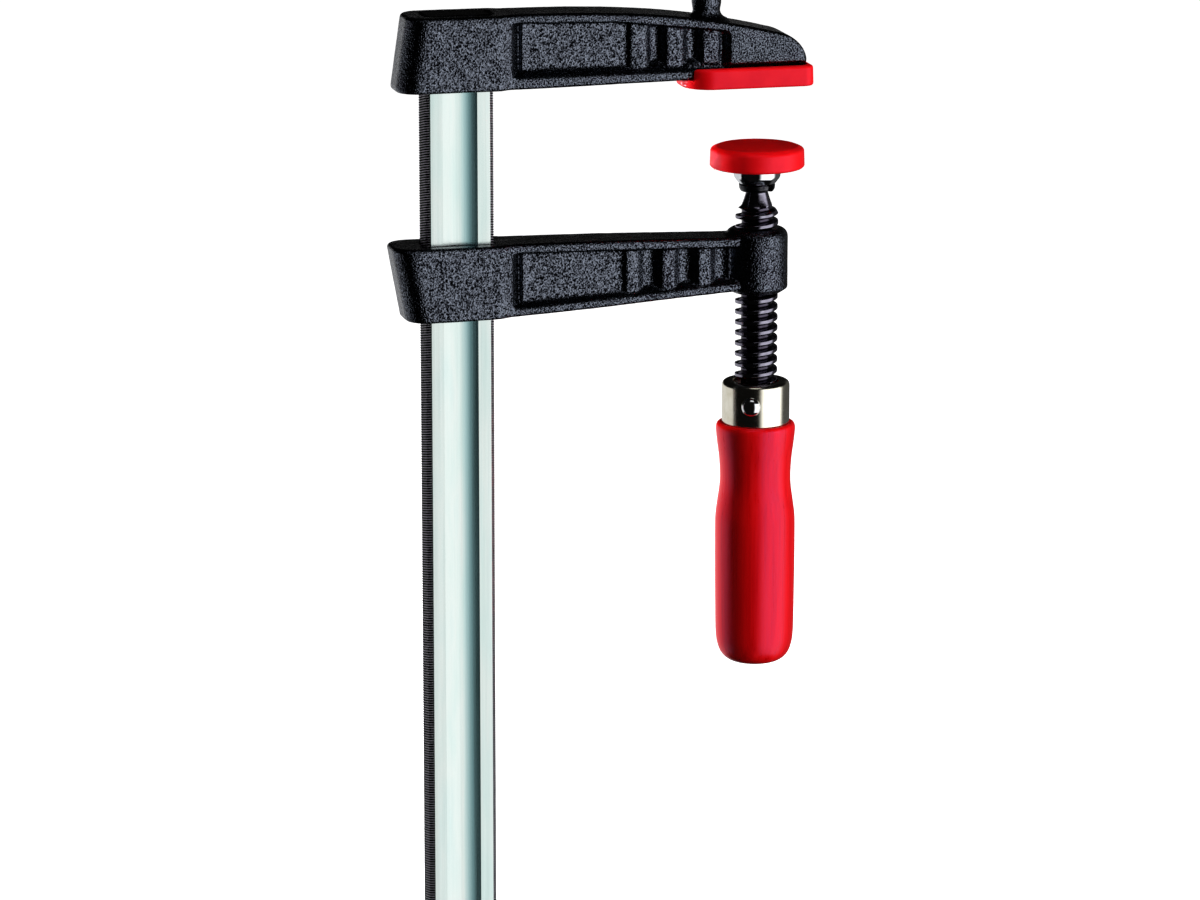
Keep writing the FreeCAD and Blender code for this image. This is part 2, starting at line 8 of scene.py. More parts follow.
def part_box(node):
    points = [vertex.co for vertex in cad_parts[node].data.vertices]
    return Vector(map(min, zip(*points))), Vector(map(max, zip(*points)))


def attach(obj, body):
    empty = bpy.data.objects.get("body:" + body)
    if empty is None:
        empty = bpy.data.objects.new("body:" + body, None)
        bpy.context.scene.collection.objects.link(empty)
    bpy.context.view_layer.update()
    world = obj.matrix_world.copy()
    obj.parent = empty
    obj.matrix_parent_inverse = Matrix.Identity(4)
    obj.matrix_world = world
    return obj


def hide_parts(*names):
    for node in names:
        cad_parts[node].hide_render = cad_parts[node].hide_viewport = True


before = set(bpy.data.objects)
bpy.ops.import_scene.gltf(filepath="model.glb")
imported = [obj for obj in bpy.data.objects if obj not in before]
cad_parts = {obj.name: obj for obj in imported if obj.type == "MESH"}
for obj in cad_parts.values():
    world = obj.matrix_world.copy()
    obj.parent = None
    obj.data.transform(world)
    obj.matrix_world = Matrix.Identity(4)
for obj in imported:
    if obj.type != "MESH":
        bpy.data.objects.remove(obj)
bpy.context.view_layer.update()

MM = 0.001               # one millimetre, in Blender's metres


# ---------------------------------------------------------------- places, from the frame

def node_box(node):
    """A node's lowest and highest corners, in millimetres."""
    low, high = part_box(node)
    return Vector(low) / MM, Vector(high) / MM


rail_low, rail_high = node_box("rail")
jaw_high = node_box("fixed_jaw")[1]
jaw_cap_low, jaw_cap_high = node_box("fixed_jaw_cap")
plate_high = node_box("pressure_plate")[1]
plate_cap_low, plate_cap_high = node_box("pressure_plate_cap")
ring_low, ring_high = node_box("plate_retaining_ring")
spindle_low, spindle_high = node_box("spindle")
ferrule_low, ferrule_high = node_box("ferrule")
pin_low, pin_high = node_box("handle_pin")
handle_low = node_box("handle")[0]

rail_x = (rail_low.x + rail_high.x) / 2
rail_half_width = (rail_high.x - rail_low.x) / 2
rail_half_thickness = 4.75     # without the stop ridges
thread_major = (spindle_high.x - spindle_low.x) / 2
thread_minor = 4.25
thread_pitch = 3.0
ferrule_radius = (ferrule_high.x - ferrule_low.x) / 2


# ---------------------------------------------------------------- mesh helpers

weld_distance = 0.002
shortest_edge = 0.001
longest_setback = 0.49         # share of a side that a rounded corner may use up


def make_object(name, vertices, faces, smooth_angle):
    """A mesh object from points in millimetres."""
    mesh = bpy.data.meshes.new(name)
    mesh.from_pydata([Vector(v) * MM for v in vertices], [], faces)
    piece = bpy.data.objects.new(name, mesh)
    bpy.context.scene.collection.objects.link(piece)
    tidy_mesh(piece, smooth_angle)
    return piece


def tidy_mesh(piece, smooth_angle):
    """Welds doubles, drops empty faces, turns the faces outward and shades them smooth."""
    work = bmesh.new()
    work.from_mesh(piece.data)
    bmesh.ops.remove_doubles(work, verts=work.verts, dist=weld_distance * MM)
    bmesh.ops.dissolve_degenerate(work, dist=shortest_edge * MM, edges=work.edges)
    bmesh.ops.recalc_face_normals(work, faces=work.faces)
    work.to_mesh(piece.data)
    work.free()
    piece.data.shade_smooth()
    piece.data.set_sharp_from_angle(angle=math.radians(smooth_angle))


def corner_arc(before, corner, after, radius, steps):
    """Points of a curve that rounds one corner of an outline in (radius, height) pairs."""
    corner = Vector(corner)
    to_before = Vector(before) - corner
    to_after = Vector(after) - corner
    half_angle = to_before.angle(to_after) / 2
    setback = min(radius / math.tan(half_angle), longest_setback * to_before.length,
                  longest_setback * to_after.length)
    start = corner + to_before.normalized() * setback
    end = corner + to_after.normalized() * setback
    points = []
    for step in range(steps + 1):
        t = step / steps
        points.append(tuple((1 - t) ** 2 * start + 2 * t * (1 - t) * corner + t ** 2 * end))
    return points


def rounded_profile(corners, steps=6):
    """Corners are (radius, z, rounding); a rounding of 0 keeps the corner sharp."""
    points = []
    for index, (radius, z, rounding) in enumerate(corners):
        if rounding and 0 < index < len(corners) - 1:
            points += corner_arc(corners[index - 1][:2], (radius, z), corners[index + 1][:2],
                                 rounding, steps)
        else:
            points.append((radius, z))
    return points


def smooth_profile(knots, steps):
    """A Catmull-Rom curve through (radius, z) knots."""
    points = []
    last = len(knots) - 1
    for index in range(last):
        before = Vector(knots[max(index - 1, 0)])
        start = Vector(knots[index])
        end = Vector(knots[index + 1])
        after = Vector(knots[min(index + 2, last)])
        bend = 2 * before - 5 * start + 4 * end - after
        twist = 3 * start - before - 3 * end + after
        for step in range(steps):
            t = step / steps
            point = 0.5 * (2 * start + (end - before) * t + bend * t ** 2 + twist * t ** 3)
            points.append(tuple(point))
    points.append(tuple(knots[-1]))
    return points


def ring_faces(rings, count, first=0):
    """Quads between closed rings of this many points, starting at the vertex called first."""
    faces = []
    for ring in range(rings - 1):
        here = first + ring * count
        above = here + count
        for column in range(count):
            right = (column + 1) % count
            faces.append((here + column, here + right, above + right, above + column))
    return faces


def end_faces(rings, count):
    """The two faces that close a stack of rings."""
    return [tuple(range(count)), tuple(range((rings - 1) * count, rings * count))]


def evaluated_mesh(piece):
    """The mesh that a piece has after its modifiers."""
    graph = bpy.context.evaluated_depsgraph_get()
    return bpy.data.meshes.new_from_object(piece.evaluated_get(graph))


def lathe(name, profile, segments, smooth_angle, start=0.0, sweep=360.0):
    """A turned piece about the spindle's axis. A sweep under 360 degrees leaves a gap."""
    closed = sweep >= 360
    columns = segments if closed else segments + 1
    vertices = []
    for column in range(columns):
        angle = math.radians(start + sweep * column / segments)
        for radius, z in profile:
            vertices.append((radius * math.cos(angle), radius * math.sin(angle), z))
    faces = []
    count = len(profile)
    for column in range(segments):
        here = column * count
        there = ((column + 1) % columns) * count
        for row in range(count - 1):
            faces.append((here + row, there + row, there + row + 1, here + row + 1))
    if not closed:
        faces += end_faces(columns, count)
    return make_object(name, vertices, faces, smooth_angle)


# ---------------------------------------------------------------- castings

casting_voxel = 0.36
smoothing_rounds = 3
machined_margin = 0.9          # skin this near to the rail stays as machined
bore_margin = 0.7              # the same for the thread

fine_lump_size = 1.1
fine_lump_height = 0.018
broad_lump_size = 4.0
broad_lump_height = 0.035
broad_lump_shift = Vector((7.0, 3.0, 1.0))

# a shallow bevel in the fixed jaw's flanges, just above its pad
bevel_depth = 0.9
bevel_height = 1.3
bevel_start = jaw_cap_low.x + 1.0
bevel_inner = jaw_high.y - 5.0

# a moat where each pocket's end wall meets the plain panel, as reaches from the rail's middle
moat_start = 14.1
moat_bottom = 16.7
moat_end = 17.3
moat_depth = 1.5
moat_fade = 0.9                # height over which it runs out at either end
moat_inner = 3.5               # the web's middle, nearer than this, is left alone
jaw_moat_low = 5.4
jaw_moat_high = 20.3
arm_moat_low = -58.6
arm_moat_high = -43.6


def is_machined(point):
    """True near the rail and near the spindle's axis, so that slot and bore stay as machined."""
    near_rail_x = abs(point.x - rail_x) < rail_half_width + machined_margin
    near_rail_y = abs(point.y) < rail_half_thickness + machined_margin
    near_thread = math.hypot(point.x, point.y) < thread_major + bore_margin
    return (near_rail_x and near_rail_y) or near_thread


def casting(name, node):
    """A cast piece: the CAD form with softened edges and the lumpy skin of a sand casting."""
    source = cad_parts[node].data.copy()
    piece = bpy.data.objects.new(name, source)
    bpy.context.scene.collection.objects.link(piece)
    work = bmesh.new()
    work.from_mesh(source)
    bmesh.ops.remove_doubles(work, verts=work.verts, dist=shortest_edge * MM)
    work.to_mesh(source)
    work.free()
    remesh = piece.modifiers.new("remesh", "REMESH")
    remesh.mode = "VOXEL"
    remesh.voxel_size = casting_voxel * MM
    mesh = evaluated_mesh(piece)
    piece.modifiers.clear()
    piece.data = mesh
    mesh.name = name
    soften_casting(mesh)
    roughen_casting(mesh)
    mesh.shade_smooth()
    return piece


def soften_casting(mesh):
    """Smooths the skin, except in the machined slot and bore."""
    work = bmesh.new()
    work.from_mesh(mesh)
    skin = [vertex for vertex in work.verts if not is_machined(vertex.co / MM)]
    for _ in range(smoothing_rounds):
        bmesh.ops.smooth_vert(work, verts=skin, factor=0.5, use_axis_x=True, use_axis_y=True,
                              use_axis_z=True)
    work.to_mesh(mesh)
    work.free()


def roughen_casting(mesh):
    """Moves the skin along its normals by two sizes of lumps."""
    normals = [vertex.normal.copy() for vertex in mesh.vertices]
    for vertex, normal in zip(mesh.vertices, normals):
        point = vertex.co / MM
        if is_machined(point):
            continue
        fine = noise.noise(point / fine_lump_size)
        broad = noise.noise(point / broad_lump_size + broad_lump_shift)
        vertex.co += normal * (fine_lump_height * fine + broad_lump_height * broad) * MM


def bevel_nose(mesh):
    """Draws the jaw's flanges in just above its pad."""
    top = jaw_cap_high.z + bevel_height
    for vertex in mesh.vertices:
        x, y, z = vertex.co / MM
        if x < bevel_start or abs(y) < bevel_inner:
            continue
        share = min(1.0, max(0.0, (top - z) / bevel_height))
        vertex.co.y -= math.copysign(bevel_depth * share * MM, y)


def cut_moat(mesh, low, high):
    """Deepens a pocket beside its end wall, between two heights."""
    for vertex in mesh.vertices:
        x, y, z = vertex.co / MM
        reach = x - rail_x
        if abs(y) < moat_inner or not low < z < high:
            continue
        wall = (reach - moat_start) / (moat_bottom - moat_start)
        step = (moat_end - reach) / (moat_end - moat_bottom)
        ends = min(z - low, high - z) / moat_fade
        share = max(0.0, min(wall, step, ends, 1.0))
        vertex.co.y -= math.copysign(moat_depth * share * MM, y)


# ---------------------------------------------------------------- rail

serration_pitch = 0.7
serration_depth = 0.3
serration_slant = 0.22         # rise of a serration for each millimetre across the edge
stations_per_serration = 4
serrated_high = jaw_cap_high.z - 3.7

chamfer = 1.35
chamfer_fade = 0.9             # share of the serrations' depth that is lost across a chamfer
end_bevel = 0.35
end_bevel_slope = 0.9

groove_half = 4.9
groove_step = 0.10
groove_sag = 0.50
hollow_half = groove_half - 0.04
hollow_steps = 12
edge_steps = 8

# points beside the chamfer's inner edge, as (x, y, share of the serrations' depth)
chamfer_edge = [(-0.06, 0.05, 0.05), (0.06, 0.005, 0.0), (0.2, 0.0, 0.0), (1.6, 0.0, 0.0)]
# points beside the groove's edge, as (x, y)
groove_edge = [(-0.2, 0.0), (0.0, 0.0), (0.02, groove_step * 0.6)]

stop_ridge_z = rail_low.z + 5.0
stop_ridge_height = 1.1
stop_ridge_reach = 2.0
stop_ridge_half = 8.0
stop_ridge_fade = 1.2
stop_ridge_inner = 3.6         # only what lies further out than this rises
serrated_low = stop_ridge_z + 4.0
plain_spacing = 0.5


def rail_front():
    """Points across the front face, left to right, as (x, y, share of the serrations' depth)."""
    face = -rail_half_thickness
    left = [(-rail_half_width, face + chamfer, 1.0)]
    for t in (0.25, 0.5, 0.75):
        left.append((-rail_half_width + chamfer * t, face + chamfer * (1 - t), 1.0 - chamfer_fade * t))
    for x, y, share in chamfer_edge:
        left.append((chamfer - rail_half_width + x, face + y, share))
    for x, y in groove_edge:
        left.append((-groove_half + x, face + y, 0.0))
    hollow = []
    for step in range(hollow_steps + 1):
        x = (-1 + 2 * step / hollow_steps) * hollow_half
        sag = groove_sag * (1 - (x / groove_half) ** 2)
        hollow.append((x, face + groove_step + sag, 0.0))
    right = [(-x, y, share) for x, y, share in reversed(left)]
    return left + hollow + right


def rail_section():
    """The bar's whole outline: the front face, one edge, then both again turned round."""
    side = rail_half_thickness - chamfer
    edge = []
    for step in range(1, edge_steps):
        edge.append((rail_half_width, -side + 2 * side * step / edge_steps, 1.0))
    half_round = rail_front() + edge
    return half_round + [(-x, -y, share) for x, y, share in half_round]


def rail_stations():
    """Heights of the bar's sections, close together where it is serrated."""
    low = rail_low.z
    high = rail_high.z
    stations = [low, low + 0.15, low + 0.5]
    z = low + 1.0
    while z < serrated_low:
        stations.append(z)
        z += plain_spacing
    z = serrated_low
    while z < serrated_high:
        stations.append(z)
        z += serration_pitch / stations_per_serration
    return stations + [serrated_high + 0.4, high - 0.5, high - 0.12, high]


def serration_cut(x, y, z, share):
    """How deep the slanted serrations are at a point of the outline."""
    if not serrated_low < z < serrated_high:
        return 0.0
    rise = serration_slant * abs(y) * (1 if x * y > 0 else -1)
    phase = ((z + rise) / serration_pitch) % 1.0
    return serration_depth * share * (1 - abs(2 * phase - 1))


def ridge_rise(x, y, z):
    """How far the stop ridges stand out at a point of the outline."""
    lift = 1 - ((z - stop_ridge_z) / stop_ridge_reach) ** 2
    if lift <= 0 or abs(x) >= stop_ridge_half or abs(y) <= stop_ridge_inner:
        return 0.0
    fade = min(1.0, (stop_ridge_half - abs(x)) / stop_ridge_fade)
    return stop_ridge_height * math.sqrt(lift) * fade


def make_rail():
    """Drawn bar with hollow faces and slanted serrations on its narrow edges."""
    section = rail_section()
    stations = rail_stations()
    vertices = []
    for z in stations:
        from_end = min(z - rail_low.z, rail_high.z - z)
        bevel = max(0.0, end_bevel - from_end) * end_bevel_slope
        for x, y, share in section:
            narrowing = serration_cut(x, y, z, share) + min(bevel, abs(x))
            thickening = ridge_rise(x, y, z) - min(bevel, abs(y))
            vertices.append((rail_x + x - math.copysign(1, x) * narrowing,
                             y + math.copysign(1, y) * thickening, z))
    faces = ring_faces(len(stations), len(section)) + end_faces(len(stations), len(section))
    return make_object("rail_bar", vertices, faces, 28)


# ---------------------------------------------------------------- spindle

thread_end = ferrule_high.z
shank_radius = 4.2
shank_chamfer = 0.8
neck_top = ring_low.z
neck_radius = 2.95
neck_base = neck_top - 4.0
ball_z = -23.7
ball_radius = 4.0
ball_steps = 16
spindle_columns = 96

# the turned outline, as (z, radius), that the thread runs out into at the neck
neck_outline = [(-30.0, 2.92), (-30.8, 3.08), (-31.7, 3.36), (-32.6, 3.64), (-33.4, 3.92),
                (-34.2, 4.24), (-34.7, 4.5), (-35.1, 5.05), (-35.8, 5.6), (-36.6, 6.0)]

# half a turn of the thread, as (distance from the crest's middle, radius), with soft corners
thread_flank = [(0.0, 6.0), (0.34, 5.99), (0.48, 5.95), (0.56, 5.86), (0.62, 5.68), (0.93, 4.55),
                (0.99, 4.38), (1.10, 4.28)]
thread_section = [(-thread_pitch / 2, thread_minor)]
thread_section += [(-offset, radius) for offset, radius in reversed(thread_flank[1:])]
thread_section += thread_flank
first_turn = math.floor(thread_end / thread_pitch) - 2
last_turn = math.ceil(neck_top / thread_pitch) + 1


def neck_limit(z):
    """The radius that the turned neck leaves at a height."""
    if z >= neck_outline[0][0]:
        return neck_outline[0][1]
    for (z_above, radius_above), (z_below, radius_below) in zip(neck_outline, neck_outline[1:]):
        if z >= z_below:
            share = (z - z_above) / (z_below - z_above)
            return radius_above + (radius_below - radius_above) * share
    return thread_major


def spindle_point(radius, column, z):
    """A point at a radius and a height, in one of the spindle's columns."""
    angle = 2 * math.pi * column / spindle_columns
    return (radius * math.cos(angle), radius * math.sin(angle), z)


def thread_point(row, column):
    """A point of the screw. Each row follows the helix, and a section's rows make one turn."""
    turn, place = divmod(row, len(thread_section))
    offset, radius = thread_section[place]
    z = thread_pitch * (first_turn + turn + column / spindle_columns) + offset
    if z <= thread_end:
        return spindle_point(shank_radius, column, thread_end)
    if z >= neck_top:
        return spindle_point(neck_radius, column, neck_top)
    return spindle_point(min(radius, neck_limit(z)), column, z)


def thread_faces(rows):
    """Quads between the rows; the last column joins the first one a whole turn higher."""
    faces = []
    for row in range(rows - 1):
        here = row * spindle_columns
        above = here + spindle_columns
        for column in range(spindle_columns - 1):
            faces.append((here + column, here + column + 1, above + column + 1, above + column))
        joined = (row + len(thread_section)) * spindle_columns
        if row + len(thread_section) + 1 < rows:
            faces.append((above - 1, joined, joined + spindle_columns, above + spindle_columns - 1))
    return faces


def shank_outline():
    """The plain shank inside the handle, as (radius, z)."""
    low = spindle_low.z
    return [(shank_radius, thread_end), (shank_radius, low + shank_chamfer),
            (shank_radius - shank_chamfer, low), (0.0, low)]


def ball_outline():
    """The neck's upper end and the ball, as (radius, z)."""
    outline = [(neck_radius, neck_top)]
    first = math.asin(neck_radius / ball_radius)
    for step in range(ball_steps + 1):
        angle = first + (math.pi - first) * step / ball_steps
        outline.append((ball_radius * math.sin(angle), ball_z - ball_radius * math.cos(angle)))
    return outline


def make_spindle():
    """Screw, neck and ball in one piece."""
    rows = (last_turn - first_turn) * len(thread_section)
    vertices = []
    for row in range(rows):
        for column in range(spindle_columns):
            vertices.append(thread_point(row, column))
    faces = thread_faces(rows)
    for outline in (shank_outline(), ball_outline()):
        faces += ring_faces(len(outline), spindle_columns, len(vertices))
        for radius, z in outline:
            for column in range(spindle_columns):
                vertices.append(spindle_point(radius, column, z))
    return make_object("spindle_screw", vertices, faces, 40)


# ---------------------------------------------------------------- turned pieces

# Outlines are lists of (radius, z, rounding), or of (radius, z).

disc_radius = 11.7
disc_thickness = 3.6
ring_slot_width = 23.0         # degrees
ring_slot_azimuth = -56.0
ferrule_wall = 1.0
ferrule_hole = 6.4
pin_radius = 1.5
pin_head_radius = 2.7
pin_head_height = 1.5
pin_head_sink = 0.15           # how far the ferrule's curve hides a head's rim
pin_azimuth = -114.0
pin_dome_steps = 10
handle_gap = 0.05


def make_plate():
    """Disc with a polished bell below it, hollow for the ball."""
    top = plate_high.z
    under = top - disc_thickness
    outline = [
        (0.0, top, 0), (disc_radius, top, 0.5), (disc_radius, under, 0.4), (7.2, under, 0.2),
        (6.75, under - 0.6, 0.3), (6.45, -26.4, 1.8), (5.2, -28.0, 0.2), (3.85, -28.9, 0.1),
        (3.62, -25.7, 0.1), (4.12, ball_z, 0.9), (2.6, -20.5, 1.2), (0.0, -19.58, 0)]
    return lathe("plate_bell", rounded_profile(outline, 8), 144, 40)


def make_ring():
    """Dark split collar; its slot faces the front right."""
    low = ring_low.z
    outline = [
        (3.2, low + 0.5, 0), (5.08, ring_high.z, 0.1), (4.95, low + 0.75, 0.3), (4.55, low, 0.2),
        (3.2, low, 0.1), (3.16, low + 0.25, 0.1), (3.2, low + 0.5, 0)]
    return lathe("plate_collar", rounded_profile(outline, 5), 120, 40,
                 start=ring_slot_azimuth + ring_slot_width / 2, sweep=360.0 - ring_slot_width)


def make_plate_cap():
    """Round moulded pad with a soft top edge, hollow for the disc."""
    top = plate_cap_high.z
    low = plate_cap_low.z
    outline = [
        (0.0, top - 0.05, 0), (11.3, top, 0.6), (13.05, top - 0.7, 1.1), (13.2, low + 0.5, 0.5),
        (12.7, low, 0.4), (10.8, low, 0.2), (10.8, low + 0.75, 0.05), (11.72, low + 0.76, 0.05),
        (11.72, top - 1.5, 0.05), (0.0, top - 1.5, 0)]
    return lathe("plate_pad", rounded_profile(outline, 7), 192, 50)


def make_ferrule():
    """Pressed cup with a hole for the spindle."""
    top = ferrule_high.z
    low = ferrule_low.z
    inside = ferrule_radius - ferrule_wall
    outline = [
        (ferrule_hole, top - 1.2, 0), (ferrule_hole, top, 0.3), (ferrule_radius, top, 1.9),
        (ferrule_radius, low, 0.12), (inside, low, 0.1), (inside, top - 1.6, 0.5),
        (ferrule_hole, top - 1.2, 0)]
    return lathe("handle_ferrule", rounded_profile(outline, 8), 192, 60)


def make_pin():
    """Rivet-like cross pin with two domed heads, one of them at the front left."""
    seat = ferrule_radius - pin_head_sink
    dome = []
    for step in range(pin_dome_steps + 1):
        angle = math.pi / 2 * step / pin_dome_steps
        dome.append((pin_head_radius * math.sin(angle), seat + pin_head_height * math.cos(angle)))
    outline = dome + [(pin_radius, seat), (pin_radius, -seat)]
    outline += [(radius, -z) for radius, z in reversed(dome)]
    pin = lathe("handle_cross_pin", outline, 64, 50)
    azimuth = math.radians(pin_azimuth)
    direction = Vector((math.cos(azimuth), math.sin(azimuth), 0))
    middle = (pin_low.z + pin_high.z) / 2
    pin.data.transform(Vector((0, 0, 1)).rotation_difference(direction).to_matrix().to_4x4())
    pin.data.transform(Matrix.Translation((0, 0, middle * MM)))
    return pin


def make_handle():
    """Turned grip with a rolled lip, waist, long swell and round foot."""
    top = ferrule_low.z - handle_gap
    tenon = [(0.0, top + 9.0), (8.3, top + 9.0), (8.35, top)]
    lip = [(8.4, top - 0.3), (9.6, top - 0.02), (10.3, top - 0.05), (10.85, top - 0.45),
           (11.12, top - 1.3)]
    waist = [(11.1, top - 2.6), (10.75, -102.0), (10.2, -106.3), (9.92, -111.0), (10.05, -114.5),
             (10.6, -118.5), (11.12, -122.5)]
    swell = [(11.25, -126.5), (11.22, -138.0), (11.1, -150.0), (10.95, -157.0)]
    foot = [(10.5, -160.3), (9.4, -163.0), (7.3, -164.8), (4.2, -165.5), (0.0, handle_low.z)]
    outline = tenon + smooth_profile(lip + waist + swell + foot, 6)
    return lathe("wooden_handle", outline, 192, 60)


# ---------------------------------------------------------------- jaw pad

pad_back_corner = 7.8
pad_front_corner = 3.2
pad_corner_steps = 16
pad_floor = 2.45               # thickness of the pad under the jaw's nose
room_half = 7.4
room_overrun = 3.0
room_corner = 2.6
room_corner_cut = 0.8
nose_gap = 0.1


def make_jaw_pad():
    """Moulded pad on the fixed jaw: round behind, square in front, hollow for the jaw's nose."""
    low = jaw_cap_low.z
    high = jaw_cap_high.z
    left = jaw_cap_low.x + pad_back_corner
    right = jaw_cap_high.x - pad_front_corner
    half = (jaw_cap_high.y - jaw_cap_low.y) / 2
    corners = [(left, pad_back_corner - half, pad_back_corner, 180),
               (right, pad_front_corner - half, pad_front_corner, 270),
               (right, half - pad_front_corner, pad_front_corner, 0),
               (left, half - pad_back_corner, pad_back_corner, 90)]
    # (how far the outline is drawn in, z)
    levels = [(1.6, low + 0.02), (0.75, low), (0.32, low + 0.1), (0.08, low + 0.35), (0.0, low + 0.8),
              (0.12, high - 0.8), (0.2, high - 0.35), (0.42, high - 0.1), (0.8, high), (2.0, high)]
    vertices = []
    for inset, z in levels:
        for x, y, radius, start in corners:
            for step in range(pad_corner_steps + 1):
                angle = math.radians(start + 90 * step / pad_corner_steps)
                reach = radius - inset
                vertices.append((x + reach * math.cos(angle), y + reach * math.sin(angle), z))
    count = len(corners) * (pad_corner_steps + 1)
    faces = ring_faces(len(levels), count) + end_faces(len(levels), count)
    pad = make_object("jaw_pad", vertices, faces, 50)
    cut_nose_room(pad)
    return pad


def cut_nose_room(pad):
    """Takes the jaw's nose out of the pad, so that its rim stands round the casting."""
    front = jaw_high.x + nose_gap
    back = jaw_cap_low.x - room_overrun
    near_side = [(back, -room_half), (front - room_corner, -room_half),
                 (front - room_corner_cut, room_corner_cut - room_half),
                 (front, room_corner - room_half)]
    outline = near_side + [(x, -y) for x, y in reversed(near_side)]
    vertices = []
    for z in (jaw_cap_low.z + pad_floor, jaw_cap_high.z + room_overrun):
        vertices += [(x, y, z) for x, y in outline]
    faces = end_faces(2, len(outline)) + ring_faces(2, len(outline))
    room = make_object("nose_room", vertices, faces, 35)
    cut = pad.modifiers.new("cut", "BOOLEAN")
    cut.object = room
    cut.operation = "DIFFERENCE"
    cut.solver = "EXACT"
    mesh = evaluated_mesh(pad)
    pad.modifiers.clear()
    pad.data = mesh
    bpy.data.objects.remove(room)
    tidy_mesh(pad, 50)


# ---------------------------------------------------------------- materials

# where the mix node keeps its colours
mix_first = 6
mix_second = 7
mix_result = 2


class Paint:
    """A node material with a Principled shader and short ways to add texture."""

    def __init__(self, name, colour, roughness, metallic):
        self.material = bpy.data.materials.new(name)
        self.material.use_nodes = True
        self.nodes = self.material.node_tree.nodes
        self.links = self.material.node_tree.links
        self.shader = self.nodes["Principled BSDF"]
        self.shader.inputs["Base Color"].default_value = (*colour, 1)
        self.shader.inputs["Roughness"].default_value = roughness
        self.shader.inputs["Metallic"].default_value = metallic
        self.where = self.nodes.new("ShaderNodeTexCoord").outputs["Object"]
        self.height = None

    def scaled(self, scale):
        """Object coordinates, stretched by a scale along each axis."""
        mapping = self.nodes.new("ShaderNodeMapping")
        mapping.inputs["Scale"].default_value = scale
        self.links.new(self.where, mapping.inputs["Vector"])
        return mapping.outputs["Vector"]

    def noise(self, size, detail=3.0, roughness=0.55, stretch=(1, 1, 1)):
        """Noise with features of about this size in millimetres."""
        texture = self.nodes.new("ShaderNodeTexNoise")
        texture.inputs["Scale"].default_value = 1.0
        texture.inputs["Detail"].default_value = detail
        texture.inputs["Roughness"].default_value = roughness
        scale = [1 / (size * MM * s) for s in stretch]
        self.links.new(self.scaled(scale), texture.inputs["Vector"])
        return texture.outputs["Fac"]

    def ramp(self, value, stops):
        """Maps a value to colours, from (position, colour) stops."""
        ramp = self.nodes.new("ShaderNodeValToRGB")
        elements = ramp.color_ramp.elements
        while len(elements) < len(stops):
            elements.new(0.5)
        for element, (position, colour) in zip(elements, stops):
            element.position = position
            element.color = (*colour, 1)
        self.links.new(value, ramp.inputs["Fac"])
        return ramp.outputs["Color"]

    def span(self, value, low, high, from_low=0.0, from_high=1.0):
        """Maps a value from one range to another."""
        node = self.nodes.new("ShaderNodeMapRange")
        node.inputs["From Min"].default_value = from_low
        node.inputs["From Max"].default_value = from_high
        node.inputs["To Min"].default_value = low
        node.inputs["To Max"].default_value = high
        self.links.new(value, node.inputs["Value"])
        return node.outputs["Result"]

    def math(self, operation, *values):
        """A maths node on numbers or sockets."""
        node = self.nodes.new("ShaderNodeMath")
        node.operation = operation
        for socket, value in zip(node.inputs, values):
            self.feed(socket, value)
        return node.outputs["Value"]

    def mix(self, share, first, second):
        """The first colour, turning to the second as the share rises to 1."""
        node = self.nodes.new("ShaderNodeMix")
        node.data_type = "RGBA"
        self.feed(node.inputs["Factor"], share)
        self.feed(node.inputs[mix_first], first)
        self.feed(node.inputs[mix_second], second)
        return node.outputs[mix_result]

    def feed(self, socket, value):
        """Sets a socket to a number or colour, or links it to another socket."""
        if isinstance(value, tuple):
            socket.default_value = (*value, 1)
        elif isinstance(value, (int, float)):
            socket.default_value = value
        else:
            self.links.new(value, socket)

    def bump(self, height, depth_mm, strength=1.0):
        """Adds a bump layer on top of those already there."""
        node = self.nodes.new("ShaderNodeBump")
        node.inputs["Strength"].default_value = strength
        node.inputs["Distance"].default_value = depth_mm * MM
        self.links.new(height, node.inputs["Height"])
        if self.height is not None:
            self.links.new(self.height, node.inputs["Normal"])
        self.height = node.outputs["Normal"]
        self.links.new(self.height, self.shader.inputs["Normal"])

    def set(self, name, value):
        """Sets one of the shader's own inputs."""
        self.feed(self.shader.inputs[name], value)

    def part(self, axis):
        """One coordinate of the surface point, in millimetres."""
        split = self.nodes.new("ShaderNodeSeparateXYZ")
        self.links.new(self.where, split.inputs["Vector"])
        return self.math("MULTIPLY", split.outputs[axis], 1 / MM)


# Noise sizes and bump depths are in millimetres; colours are linear red, green and blue.

def cast_coat():
    """Glossy black stove enamel over a rough cast skin: its grain catches the light in specks."""
    pit = (0.002, 0.002, 0.003)
    skin = (0.055, 0.060, 0.074)
    speck = (0.182, 0.202, 0.244)
    paint = Paint("cast_coat", (0.05, 0.06, 0.07), roughness=0.2, metallic=1.0)
    grain = paint.noise(0.45, 1.0, 0.5)
    cloud = paint.span(paint.noise(7.0, 3.0, 0.6), -0.03, 0.03, 0.3, 0.7)
    tone = paint.math("ADD", grain, cloud)
    paint.set("Base Color", paint.ramp(tone, [(0.37, pit), (0.46, skin), (0.66, speck)]))
    paint.set("Roughness", paint.span(paint.noise(1.1), 0.14, 0.24, 0.3, 0.7))
    paint.bump(grain, 0.22, 1.0)
    return paint.material


